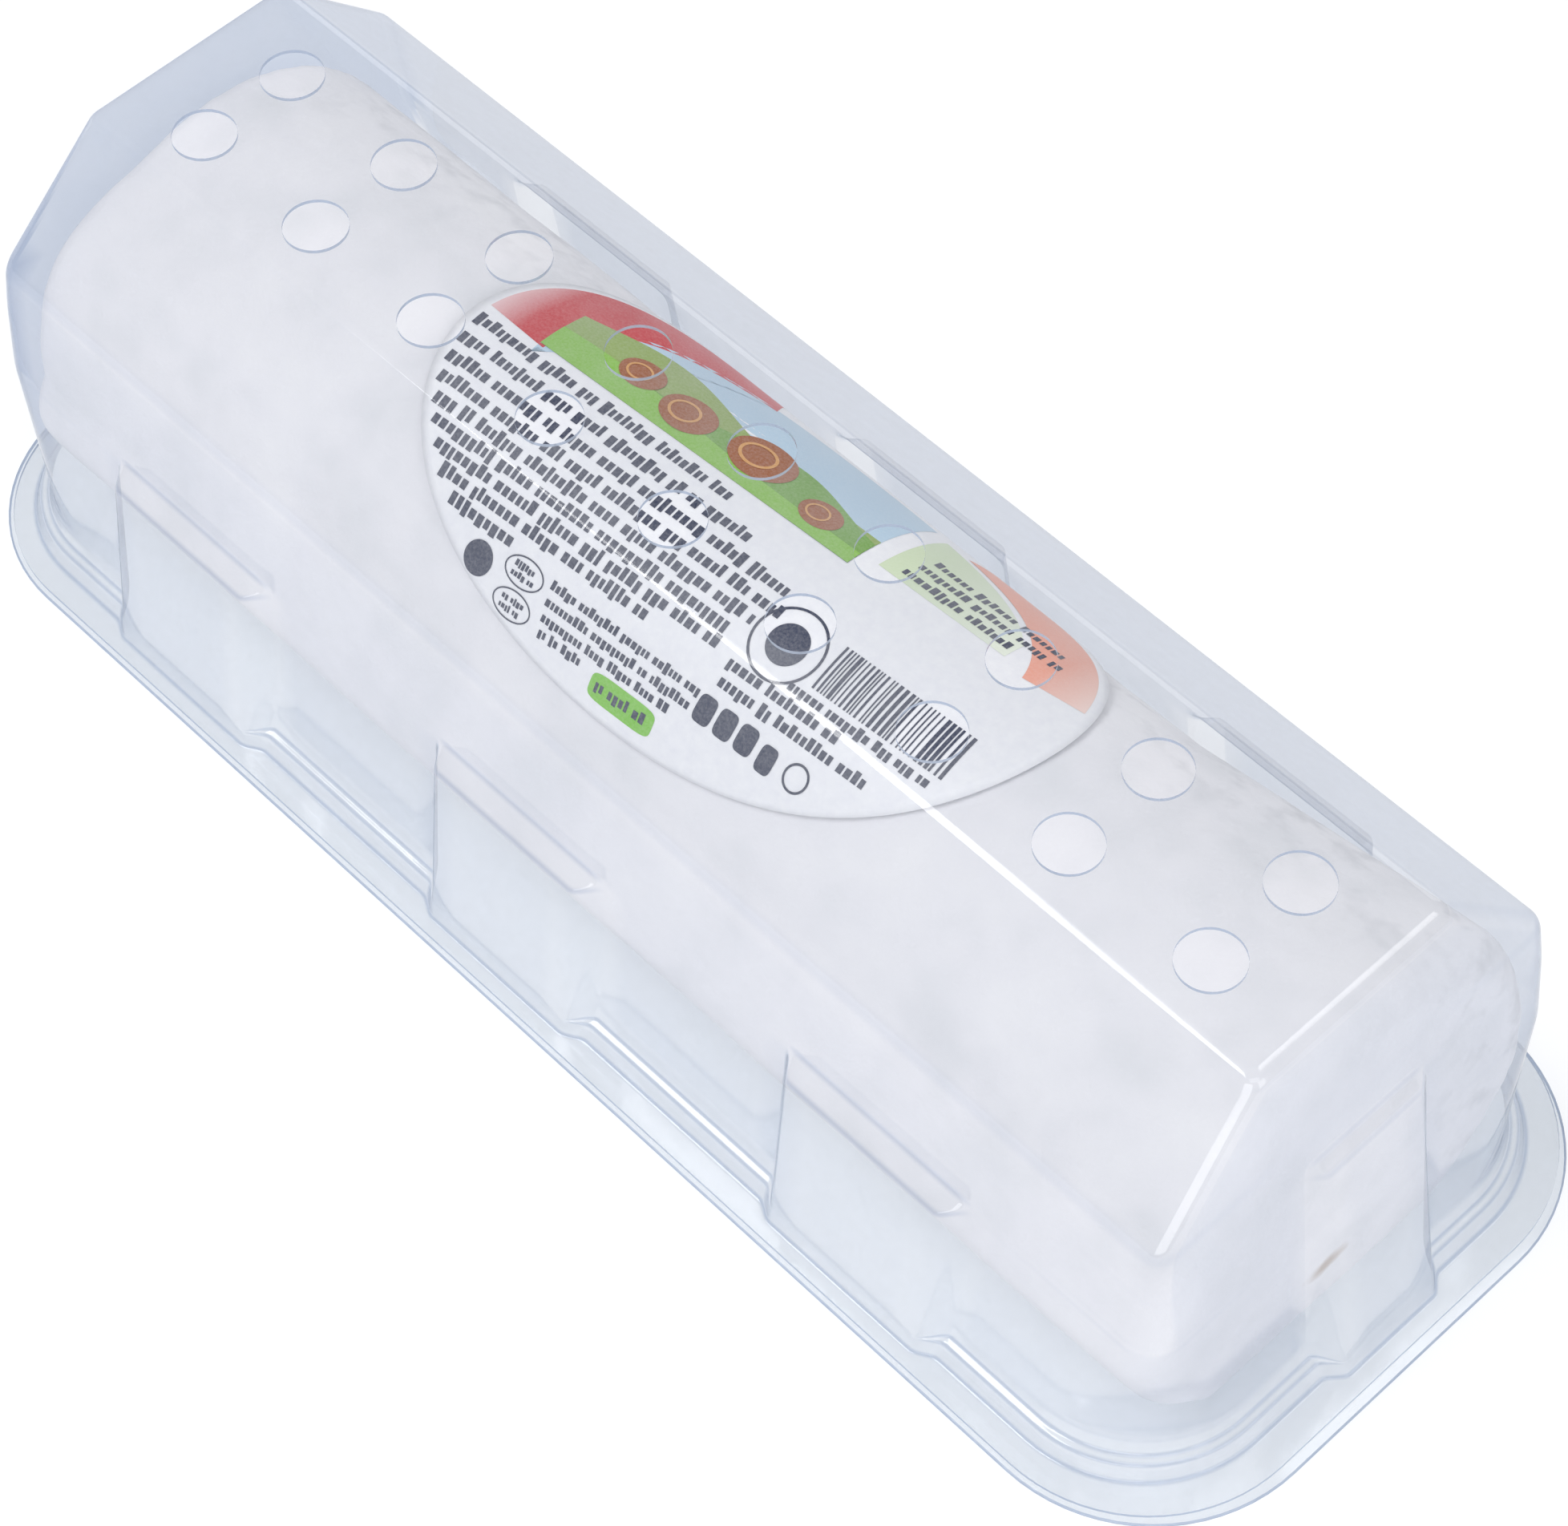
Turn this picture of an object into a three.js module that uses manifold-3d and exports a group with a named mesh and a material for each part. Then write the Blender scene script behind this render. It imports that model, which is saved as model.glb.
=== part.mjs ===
// Goat cheese log in a clear vented pack: a thin formed cover with two rows of vent holes stands
// on a flat base sheet, and the white log lies inside with an oval paper sticker on its back.
// Millimetres, +Z up, +X along the log, origin at the middle of the underside.

import * as THREE from 'three';
import { mergeVertices } from 'three/addons/utils/BufferGeometryUtils.js';
import Module from 'manifold-3d';

const wasm = await Module();
wasm.setup();

// Driving sizes of the pack
const GAP = 0.3; // clearance between pieces that touch
const SHEET = 0.5; // thickness of the base sheet and of the formed cover
const BASE = { length: 223.6, width: 85.6, corner: 23.4 };
const COVER_TOP = 64.5;
const RIM = { insetEnd: 1.4, insetSide: 0.7, corner: 22, width: 3.5 };
const STEP = { rise: 2.5, run: 0.9 };
const LEDGE = { width: 1.2, rise: 0.3 };
const FILLET = { run: 0.65, rise: 2.1 };
const BODY_SHIFT = -0.8; // the formed body stands a little off the rim's middle along X
const WALL = { draft: THREE.MathUtils.degToRad(6), shoulder: 47.2 };
const WALL_CORNER = { foot: 16.4, top: 2.4, ease: 2.2 }; // radius that falls off quickly above the foot
const PANEL = { halfWidth: 15.3, corner: 1.2, edge: 1.3 };
const EDGE_ROUND = { inset: 0.65, drop: 0.25, panelInset: 1.5 }; // as shares of PANEL.edge

// Lugs: how far the face's top edge reaches from the middle, its height, and the roof above it
const SIDE_LUG = {
  centres: [-63.4, -2.6, 58.2],
  width: 23.4,
  flank: 3.5,
  reach: 36.4,
  top: 29,
  roof: 1.6,
  draft: THREE.MathUtils.degToRad(7.4),
};
const END_LUG = {
  centres: [1.2],
  width: 14.5,
  flank: 3,
  reach: 102.2,
  top: 39.6,
  roof: 2.1,
  draft: THREE.MathUtils.degToRad(9.6),
};
const FLANK_SHARES = [0, 0.26, 0.74, 1]; // share of the lug's depth reached across a flank

// Vent holes in the flat top
const VENT = { diameter: 8.2, drillDepth: 3, perRow: 9, pitch: 21.05, rowGap: 14.1 };
const VENT_SHIFT = { x: -1.3, y: -0.6 };

// Contents
const LOG = { radius: 26.65, length: 196.6, offsetX: -1.1, offsetY: 2.05 };
const SAG = { near: 9, far: 4.5, from: 72, to: 104 }; // bulge below the round back, from and to in degrees

// Each end of the log is fuller on one side, 1 near or -1 far, and may flare out towards its foot
const LOG_ENDS = {
  left: { end: -1, edge: 2.5, begins: -52, side: 1, bulge: 6, from: 20, to: 64, flare: 0 },
  right: { end: 1, edge: 4.5, begins: 52, side: -1, bulge: 3.8, from: 27, to: 60, flare: 2.7 },
};
const FLARE = { from: 24, to: -6 }; // heights off the log's axis
const LABEL = { halfLength: 48, halfWidth: 32, thickness: 0.25 };
const LABEL_PLACE = { alongX: -0.2, aroundLog: -2.7, skew: THREE.MathUtils.degToRad(-3.5) };

// Mesh fineness
const CORNER_STEPS = 7;
const VENT_SIDES = 28;
const LOG_SIDES = 56;
const LOG_EDGE_STEPS = 5;
const LABEL_SPOKES = 40;
const LABEL_RINGS = 6;
const MERGE_DISTANCE = 1e-4;

// Levels worked out from the sizes above
const coverFoot = SHEET + GAP;
const rimTop = coverFoot + SHEET;
const logAxisZ = SHEET + GAP + LOG.radius;

// A cover section grown sideways by out (inwards if negative) and set at height z
function section(from, out, corner, z) {
  return { x: from.x + out, y: from.y + out, corner, z, shift: BODY_SHIFT };
}

// Sections of the cover's outer face, from the edge of the rim up to the flat top. sideReach and endReach
// say how far the lugs stand out there.
function coverSections() {
  const rimOuter = {
    x: BASE.length / 2 - RIM.insetEnd,
    y: BASE.width / 2 - RIM.insetSide,
    corner: RIM.corner,
    z: rimTop,
    shift: 0,
  };
  const rimInner = section(rimOuter, -RIM.width, RIM.corner - RIM.width, rimTop);
  const stepTop = section(rimInner, -STEP.run, rimInner.corner - STEP.run, rimTop + STEP.rise);
  const ledgeIn = section(stepTop, -LEDGE.width, stepTop.corner - LEDGE.width, stepTop.z + LEDGE.rise);
  const wallFoot = section(ledgeIn, -FILLET.run, WALL_CORNER.foot, ledgeIn.z + FILLET.rise);

  const wallAt = (z) => {
    const left = Math.max(0, WALL.shoulder - z) / (WALL.shoulder - wallFoot.z);
    const corner = THREE.MathUtils.lerp(WALL_CORNER.top, WALL_CORNER.foot, left ** WALL_CORNER.ease);
    return section(wallFoot, -(z - wallFoot.z) * Math.tan(WALL.draft), corner, z);
  };
  const sideCrest = wallAt(SIDE_LUG.top);
  const sideRoot = wallAt(SIDE_LUG.top + SIDE_LUG.roof);
  const endCrest = wallAt(END_LUG.top);
  const endRoot = wallAt(END_LUG.top + END_LUG.roof);
  const shoulder = wallAt(WALL.shoulder);

  const edgeLow = wallAt(COVER_TOP - PANEL.edge);
  edgeLow.y = PANEL.halfWidth + PANEL.edge;
  edgeLow.corner = PANEL.corner + PANEL.edge;
  const highZ = COVER_TOP - EDGE_ROUND.drop * PANEL.edge;
  const highCorner = PANEL.corner + EDGE_ROUND.drop * PANEL.edge;
  const edgeHigh = section(edgeLow, -EDGE_ROUND.inset * PANEL.edge, highCorner, highZ);
  const panel = section(edgeLow, -EDGE_ROUND.panelInset * PANEL.edge, PANEL.corner, COVER_TOP);

  const lowLevels = [rimInner, stepTop, ledgeIn, wallFoot, sideCrest];
  for (const level of lowLevels) {
    level.sideReach = lugReach(SIDE_LUG, level.z);
  }
  for (const level of [...lowLevels, sideRoot, endCrest]) {
    level.endReach = lugReach(END_LUG, level.z);
  }
  return [rimOuter, ...lowLevels, sideRoot, endCrest, endRoot, shoulder, edgeLow, edgeHigh, panel];
}

// How far a lug's drafted face reaches from the middle of the pack at height z
function lugReach(lug, z) {
  return lug.reach + (lug.top - z) * Math.tan(lug.draft);
}

// Places along one side where its lugs' flanks bend, with the share of the lug's depth at each
function lugStations(lug) {
  const stations = [];
  for (const centre of lug.centres) {
    const rising = FLANK_SHARES.map((share, i) => {
      const along = i / (FLANK_SHARES.length - 1);
      return { at: -lug.width / 2 - lug.flank * (1 - along), share };
    });
    const falling = rising.map(({ at, share }) => ({ at: -at, share })).reverse();
    for (const { at, share } of [...rising, ...falling]) {
      stations.push({ at: centre + at, share });
    }
  }
  return stations;
}

// One closed ring of points round a cover section, counter-clockwise from the +X end
function sectionRing(level) {
  const ring = [];
  const onEnd = (sign, { at, share }) => {
    const reach = THREE.MathUtils.lerp(level.x, level.endReach ?? level.x, share);
    ring.push(new THREE.Vector3(level.shift + sign * reach, at, level.z));
  };
  const onSide = (sign, { at, share }) => {
    const reach = THREE.MathUtils.lerp(level.y, level.sideReach ?? level.y, share);
    ring.push(new THREE.Vector3(at, sign * reach, level.z));
  };
  const round = (signX, signY, startAngle) => {
    for (let i = 0; i <= CORNER_STEPS; i += 1) {
      const angle = startAngle + (i / CORNER_STEPS) * (Math.PI / 2);
      ring.push(new THREE.Vector3(
        level.shift + signX * (level.x - level.corner) + level.corner * Math.cos(angle),
        signY * (level.y - level.corner) + level.corner * Math.sin(angle),
        level.z,
      ));
    }
  };
  const endStations = lugStations(END_LUG);
  const sideStations = lugStations(SIDE_LUG);
  endStations.forEach((station) => onEnd(1, station));
  round(1, 1, 0);
  [...sideStations].reverse().forEach((station) => onSide(1, station));
  round(-1, 1, Math.PI / 2);
  [...endStations].reverse().forEach((station) => onEnd(-1, station));
  round(-1, -1, Math.PI);
  sideStations.forEach((station) => onSide(-1, station));
  round(1, -1, 1.5 * Math.PI);
  return ring;
}

// Rings moved inwards by the sheet's thickness. The rim and the top are flat, so they move straight down.
function innerRings(rings) {
  const last = rings.length - 1;
  return rings.map((ring, level) => ring.map((point, i) => {
    const normal = new THREE.Vector3(0, 0, 1);
    if (level > 0 && level < last) {
      const before = ring[(i + ring.length - 1) % ring.length];
      const after = ring[(i + 1) % ring.length];
      const along = after.clone().sub(before);
      const upward = rings[level + 1][i].clone().sub(rings[level - 1][i]);
      normal.copy(along.cross(upward).normalize());
    }
    return point.clone().addScaledVector(normal, -SHEET);
  }));
}

// Triangles from a list of points, as a geometry with merged corners
function facetedGeometry(triangles) {
  const geometry = new THREE.BufferGeometry();
  const coordinates = triangles.flatMap((point) => point.toArray());
  geometry.setAttribute('position', new THREE.Float32BufferAttribute(coordinates, 3));
  return mergeVertices(geometry, MERGE_DISTANCE);
}

// Adds the band of triangles between two rings of equally many points, facing out where the second
// ring lies above the first
function addBand(triangles, lower, upper) {
  lower.forEach((point, i) => {
    const next = (i + 1) % lower.length;
    triangles.push(point, lower[next], upper[next]);
    triangles.push(point, upper[next], upper[i]);
  });
}

// Closes a ring with a fan from its middle, facing up or down
function addCap(triangles, ring, facesUp) {
  const middle = ring.reduce((sum, p) => sum.add(p), new THREE.Vector3()).divideScalar(ring.length);
  ring.forEach((point, i) => {
    const next = ring[(i + 1) % ring.length];
    triangles.push(middle, ...(facesUp ? [point, next] : [next, point]));
  });
}

function coverShell() {
  const outer = coverSections().map(sectionRing);
  const inner = innerRings(outer);
  const triangles = [];
  addBand(triangles, inner[0], outer[0]);
  for (let level = 1; level < outer.length; level += 1) {
    addBand(triangles, outer[level - 1], outer[level]);
    addBand(triangles, inner[level], inner[level - 1]);
  }
  addCap(triangles, outer[outer.length - 1], true);
  addCap(triangles, inner[inner.length - 1], false);
  return facetedGeometry(triangles);
}

function toSolid(geometry) {
  const bare = geometry.clone();
  bare.deleteAttribute('normal');
  bare.deleteAttribute('uv');
  const merged = mergeVertices(bare, MERGE_DISTANCE);
  return new wasm.Manifold(new wasm.Mesh({
    numProp: 3,
    vertProperties: new Float32Array(merged.attributes.position.array),
    triVerts: new Uint32Array(merged.index.array),
  }));
}

function toGeometry(solid) {
  const mesh = solid.getMesh();
  const geometry = new THREE.BufferGeometry();
  geometry.setAttribute('position', new THREE.BufferAttribute(new Float32Array(mesh.vertProperties), 3));
  geometry.setIndex(new THREE.BufferAttribute(new Uint32Array(mesh.triVerts), 1));
  return geometry;
}

// Clear cover with its vent holes cut through the flat top
function coverGeometry() {
  const radius = VENT.diameter / 2;
  let cover = toSolid(coverShell());
  for (let row = -0.5; row <= 0.5; row += 1) {
    for (let i = 0; i < VENT.perRow; i += 1) {
      const x = VENT_SHIFT.x + (i - (VENT.perRow - 1) / 2) * VENT.pitch;
      const y = VENT_SHIFT.y + row * VENT.rowGap;
      const drill = new THREE.CylinderGeometry(radius, radius, VENT.drillDepth, VENT_SIDES);
      drill.rotateX(Math.PI / 2);
      drill.translate(x, y, COVER_TOP);
      cover = cover.subtract(toSolid(drill));
    }
  }
  return toGeometry(cover);
}

// Flat clear sheet that closes the pack from below
function baseGeometry() {
  const x = BASE.length / 2 - BASE.corner;
  const y = BASE.width / 2 - BASE.corner;
  const outline = new THREE.Shape();
  outline.absarc(x, y, BASE.corner, 0, Math.PI / 2);
  outline.absarc(-x, y, BASE.corner, Math.PI / 2, Math.PI);
  outline.absarc(-x, -y, BASE.corner, Math.PI, 1.5 * Math.PI);
  outline.absarc(x, -y, BASE.corner, 1.5 * Math.PI, 2 * Math.PI);
  return new THREE.ExtrudeGeometry(outline, { depth: SHEET, bevelEnabled: false, curveSegments: 10 });
}

// How far the log bulges beyond its round back, at a turn in degrees from the top towards the near side
function logBulge(turn, fullness) {
  const sag = (turn > 0 ? SAG.near : SAG.far) * THREE.MathUtils.smoothstep(Math.abs(turn), SAG.from, SAG.to);
  if (!fullness) {
    return sag;
  }
  const { side, bulge, from, to } = fullness;
  return Math.max(sag, bulge * THREE.MathUtils.smoothstep(side * turn, from, to));
}

// One ring round the log, drawn in by inset near its ends: a round back, sides that sag outwards and a
// flat underside
function logRing(along, inset, fullness) {
  return Array.from({ length: LOG_SIDES }, (_, i) => {
    const turn = ((2 * i) / LOG_SIDES - 1) * Math.PI;
    const radius = LOG.radius + logBulge(THREE.MathUtils.radToDeg(turn), fullness) - inset;
    const height = Math.max(inset - LOG.radius, radius * Math.cos(turn));
    const flare = fullness ? fullness.end * fullness.flare : 0;
    const share = THREE.MathUtils.smoothstep(FLARE.from - height, 0, FLARE.from - FLARE.to);
    return new THREE.Vector3(along + flare * share, -radius * Math.sin(turn), height);
  });
}

// Rings from the flat of one end round its edge, then the ring where the end's fullness begins
function logEndRings(fullness) {
  const { end, edge, begins } = fullness;
  const rings = [];
  for (let i = 0; i <= LOG_EDGE_STEPS; i += 1) {
    const turn = (i / LOG_EDGE_STEPS) * (Math.PI / 2);
    const along = LOG.offsetX + end * (LOG.length / 2 - edge * (1 - Math.cos(turn)));
    rings.push(logRing(along, edge * (1 - Math.sin(turn)), fullness));
  }
  rings.push(logRing(begins, 0, null));
  return rings;
}

// Cheese log with rounded end edges, lying along X
function logGeometry() {
  const rings = [...logEndRings(LOG_ENDS.left), ...logEndRings(LOG_ENDS.right).reverse()];
  const triangles = [];
  for (let i = 1; i < rings.length; i += 1) {
    addBand(triangles, rings[i - 1], rings[i]);
  }
  addCap(triangles, rings[0], false);
  addCap(triangles, rings[rings.length - 1], true);
  return facetedGeometry(triangles);
}

// A point of the sticker, given as shares of its half length and half width, at a distance off the log
function labelPoint(along, across, lift) {
  const { alongX, aroundLog, skew } = LABEL_PLACE;
  const u = along * LABEL.halfLength;
  const w = across * LABEL.halfWidth;
  const x = alongX + u * Math.cos(skew) - w * Math.sin(skew);
  const around = aroundLog + u * Math.sin(skew) + w * Math.cos(skew);
  const angle = around / LOG.radius;
  const radius = LOG.radius + lift;
  return new THREE.Vector3(x, -radius * Math.sin(angle), radius * Math.cos(angle));
}

// Oval sticker wrapped round the back of the log
function labelGeometry() {
  const face = (lift) => {
    const rings = [];
    for (let ring = 1; ring <= LABEL_RINGS; ring += 1) {
      const share = ring / LABEL_RINGS;
      rings.push(Array.from({ length: LABEL_SPOKES }, (_, i) => {
        const angle = (-2 * Math.PI * i) / LABEL_SPOKES;
        return labelPoint(share * Math.cos(angle), share * Math.sin(angle), lift);
      }));
    }
    return { middle: labelPoint(0, 0, lift), rings };
  };
  const under = face(GAP);
  const over = face(GAP + LABEL.thickness);
  const triangles = [];
  for (let i = 0; i < LABEL_SPOKES; i += 1) {
    const next = (i + 1) % LABEL_SPOKES;
    triangles.push(over.middle, over.rings[0][i], over.rings[0][next]);
    triangles.push(under.middle, under.rings[0][next], under.rings[0][i]);
  }
  for (let ring = 1; ring < LABEL_RINGS; ring += 1) {
    addBand(triangles, over.rings[ring], over.rings[ring - 1]);
    addBand(triangles, under.rings[ring - 1], under.rings[ring]);
  }
  addBand(triangles, under.rings[LABEL_RINGS - 1], over.rings[LABEL_RINGS - 1]);
  return facetedGeometry(triangles);
}

function namedMesh(name, geometry, look) {
  const mesh = new THREE.Mesh(geometry, new THREE.MeshStandardMaterial(look));
  mesh.name = name;
  return mesh;
}

const clearPlastic = { color: 0xdfe6f0, roughness: 0.12, metalness: 0, transparent: true, opacity: 0.3 };
const rind = { color: 0xe4e6ef, roughness: 0.75, metalness: 0 };
const paper = { color: 0xeceef5, roughness: 0.45, metalness: 0 };

const contents = new THREE.Group();
contents.position.set(0, LOG.offsetY, logAxisZ);
contents.add(namedMesh('cheese_log', logGeometry(), rind));
contents.add(namedMesh('label', labelGeometry(), paper));

const pack = new THREE.Group();
pack.add(namedMesh('base_sheet', baseGeometry(), clearPlastic));
pack.add(namedMesh('cover', coverGeometry(), clearPlastic));
pack.add(contents);

export default pack;
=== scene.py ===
"""Goat cheese log with an oval paper sticker, lying in its clear, vented, formed pack.

Shapes are worked out in millimetres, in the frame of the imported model: +X along the log, +Z up.
"""

import math
import random

import bmesh
import bpy
import numpy as np
from mathutils import Matrix, Vector, noise
from mathutils.geometry import delaunay_2d_cdt


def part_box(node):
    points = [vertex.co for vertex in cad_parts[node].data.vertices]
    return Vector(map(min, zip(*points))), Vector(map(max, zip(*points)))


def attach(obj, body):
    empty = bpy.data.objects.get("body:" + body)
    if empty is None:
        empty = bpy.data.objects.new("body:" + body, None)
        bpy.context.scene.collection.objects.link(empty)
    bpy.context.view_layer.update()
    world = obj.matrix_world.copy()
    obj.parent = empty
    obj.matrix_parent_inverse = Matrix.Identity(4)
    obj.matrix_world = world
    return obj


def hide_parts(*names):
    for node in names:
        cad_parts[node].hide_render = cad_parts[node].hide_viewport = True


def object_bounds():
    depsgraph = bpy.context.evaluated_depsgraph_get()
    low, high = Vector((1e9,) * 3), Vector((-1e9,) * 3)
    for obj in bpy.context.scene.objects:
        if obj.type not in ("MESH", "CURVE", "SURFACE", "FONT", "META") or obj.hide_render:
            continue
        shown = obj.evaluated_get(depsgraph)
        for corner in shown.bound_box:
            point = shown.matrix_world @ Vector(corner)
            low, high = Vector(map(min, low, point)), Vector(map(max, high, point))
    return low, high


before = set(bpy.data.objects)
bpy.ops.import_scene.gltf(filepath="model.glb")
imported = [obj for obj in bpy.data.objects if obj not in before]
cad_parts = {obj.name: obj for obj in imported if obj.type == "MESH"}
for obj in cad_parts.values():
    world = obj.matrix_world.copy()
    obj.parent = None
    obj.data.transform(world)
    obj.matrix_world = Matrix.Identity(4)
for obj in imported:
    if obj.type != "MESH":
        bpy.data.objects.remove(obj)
cad_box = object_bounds()

MM = 0.001


def box_mm(node):
    """Lowest and highest corner of a CAD node, in millimetres."""
    low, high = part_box(node)
    return np.array(low) / MM, np.array(high) / MM


BASE_LOW, BASE_HIGH = box_mm("base_sheet")
COVER_LOW, COVER_HIGH = box_mm("cover")
LOG_LOW, LOG_HIGH = box_mm("cheese_log")

# Clear pack
GAP = 0.3
SHEET = BASE_HIGH[2] - BASE_LOW[2]
BASE_CORNER = 23.4
RIM = {"corner": 22, "width": 3.5}
STEP = {"rise": 2.5, "run": 0.9}
LEDGE = {"width": 1.2, "rise": 0.3}
FILLET = {"run": 0.65, "rise": 2.1}
BODY_SHIFT = -0.8
WALL = {"draft": math.radians(6), "shoulder": 47.2}
WALL_CORNER = {"foot": 16.4, "top": 2.4, "ease": 2.2}
PANEL = {"half_width": 15.3, "corner": 1.2, "edge": 1.3, "flat_inset": 0.4}
PANEL_EDGE = {"run": 0.65, "drop": 0.25, "reach": 1.5}  # shares of the flat top's rounded edge
SIDE_LUG = {
    "centres": (-63.4, -2.6, 58.2), "width": 23.4, "flank": 3.5, "reach": 36.4, "top": 29, "roof": 1.6,
    "draft": math.radians(7.4),
}
END_LUG = {
    "centres": (1.2,), "width": 14.5, "flank": 3, "reach": 102.2, "top": 39.6, "roof": 2.1,
    "draft": math.radians(9.6),
}
VENT = {"radius": 4.1, "pitch": 21.05, "per_row": 9, "row_gap": 14.1, "x": -1.3, "y": -0.6}

# Log and sticker
LOG_RADIUS = (LOG_HIGH[2] - LOG_LOW[2]) / 2
LOG_HALF = 98.3
LOG_AXIS = np.array((-1.1, 2.05, (LOG_LOW[2] + LOG_HIGH[2]) / 2))
SAG = {"near": 9, "far": 4.5, "from": 72, "to": 104}  # below the round back, from and to in degrees

# Each end of the log is fuller on one side, 1 near or -1 far, and may flare out towards its foot
LEFT_END = {"edge": 2.5, "begins": 50.9, "side": 1, "bulge": 6, "from": 20, "to": 64, "flare": 0}
RIGHT_END = {"edge": 4.5, "begins": 53.1, "side": -1, "bulge": 3.8, "from": 27, "to": 60, "flare": 2.7}
FLARE = {"from": 24, "to": -6}  # heights off the log's axis
FAR_SIDE = 30.0  # how far across the log its far side lies
STAIN = {"place": (99.5, -2.0, 12.0), "size": (3.0, 3.8, 2.0)}
LABEL = {"half_length": 48, "half_width": 32, "thickness": 0.25}
LABEL_PLACE = {"x": -0.2, "around": -2.7, "skew": math.radians(-3.5)}

# Camera of the photograph
CAMERA = {
    "place": (0.24478, -0.21293, 0.47173),
    "azimuth": math.radians(48.089),
    "elevation": math.radians(54.980),
    "roll": math.radians(-2.307),
    "lens": 103.695,
    "sensor": 36,
}

BLACK = (0, 0, 0, 1)
WHITE = (1, 1, 1, 1)


def linear(hex_colour):
    """Scene-linear colour of an sRGB hex value."""
    parts = [int(hex_colour[i:i + 2], 16) / 255 for i in (0, 2, 4)]
    return [c / 12.92 if c <= 0.04045 else ((c + 0.055) / 1.055) ** 2.4 for c in parts] + [1.0]


class Shader:
    """A node material built up call by call."""

    def __init__(self, name):
        self.material = bpy.data.materials.new(name)
        self.material.use_nodes = True
        self.tree = self.material.node_tree
        self.tree.nodes.clear()

    def add(self, kind, settings=None, **inputs):
        """Adds a node. A socket given as an input is linked, and any other value is set."""
        node = self.tree.nodes.new(kind)
        for key, value in (settings or {}).items():
            setattr(node, key, value)
        for key, value in inputs.items():
            socket = node.inputs[int(key[1:])] if key[1:].isdigit() else node.inputs[key.replace("_", " ")]
            if isinstance(value, bpy.types.NodeSocket):
                self.tree.links.new(value, socket)
            else:
                socket.default_value = value
        return node

    def place(self, unit_mm=1.0):
        """Object coordinates, in units of so many millimetres."""
        coordinates = self.add("ShaderNodeTexCoord").outputs["Object"]
        scale = 1 / MM / unit_mm
        node = self.add("ShaderNodeVectorMath", {"operation": "SCALE"}, _0=coordinates, Scale=scale)
        return node.outputs[0]

    def noise(self, size_mm, detail=3.0, roughness=0.55):
        """Noise with features of about the given size."""
        values = {"Scale": 1.0, "Detail": detail, "Roughness": roughness}
        return self.add("ShaderNodeTexNoise", Vector=self.place(size_mm), **values).outputs["Fac"]

    def vector_math(self, operation, first, second=(0, 0, 0)):
        return self.add("ShaderNodeVectorMath", {"operation": operation}, _0=first, _1=second)

    def stain_distance(self, unevenness):
        """Uneven distance from the stain, 1 at its border."""
        offset = self.vector_math("SUBTRACT", self.place(), STAIN["place"]).outputs[0]
        shares = self.vector_math("DIVIDE", offset, STAIN["size"]).outputs[0]
        length = self.vector_math("LENGTH", shares).outputs["Value"]
        return self.math("ADD", length, self.math("SUBTRACT", unevenness, 0.5))

    def ramp(self, factor, stops):
        """Colour ramp through (position, colour) stops."""
        node = self.add("ShaderNodeValToRGB", Fac=factor)
        elements = node.color_ramp.elements
        while len(elements) < len(stops):
            elements.new(0.5)
        for element, (position, colour) in zip(elements, stops):
            element.position = position
            element.color = colour
        return node.outputs["Color"]

    def math(self, operation, first, second):
        return self.add("ShaderNodeMath", {"operation": operation}, _0=first, _1=second).outputs[0]

    def mix(self, share, first, second):
        """One colour blended into another."""
        return self.add("ShaderNodeMixRGB", Fac=share, Color1=first, Color2=second).outputs[0]

    def blend(self, share, first, second):
        """One surface blended into another."""
        return self.add("ShaderNodeMixShader", _0=share, _1=first, _2=second).outputs[0]

    def bump(self, height, distance_mm, strength=1.0):
        node = self.add("ShaderNodeBump", Height=height, Strength=strength, Distance=distance_mm * MM)
        return node.outputs["Normal"]

    def finish(self, surface):
        output = self.add("ShaderNodeOutputMaterial")
        self.tree.links.new(surface, output.inputs["Surface"])
        return self.material


# Clear plastic, with its tints placed from a face seen straight on to one seen edge on
TINT_PLACES = (0.0, 0.54, 0.68, 1.0)
GLOSS = {"roughness": 0.1, "least": 0.06, "gain": 0.9, "power": 4.0}
SCUFFS = {"size": 5, "share": 0.12}


def clear_plastic(name, *tints):
    """Thin clear plastic: see-through, shiny and bluish by its angle, with faint scuffs and painted shade
    along its folds.
    """
    shader = Shader(name)
    facing = shader.add("ShaderNodeLayerWeight", Blend=0.5).outputs["Facing"]
    by_angle = shader.ramp(facing, list(zip(TINT_PLACES, map(linear, tints))))
    # Painted shade: a darker blue tint along the folds, where bends in the clear sheet look dark
    fold = shader.add("ShaderNodeAttribute", {"attribute_name": "fold"}).outputs["Fac"]
    tint = shader.mix(fold, by_angle, linear("AEBDD6"))
    clear = shader.add("ShaderNodeBsdfTransparent", Color=tint).outputs[0]
    gloss = shader.add("ShaderNodeBsdfGlossy", Color=WHITE, Roughness=GLOSS["roughness"]).outputs[0]
    grazing = shader.math("MULTIPLY", shader.math("POWER", facing, GLOSS["power"]), GLOSS["gain"])
    shiny = shader.blend(shader.math("ADD", grazing, GLOSS["least"]), clear, gloss)
    milk = shader.add("ShaderNodeBsdfDiffuse", Color=linear("ECEEF3")).outputs[0]
    scuffs = shader.math("MULTIPLY", shader.noise(SCUFFS["size"], 1.0), SCUFFS["share"])
    return shader.finish(shader.blend(scuffs, shiny, milk))


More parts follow.
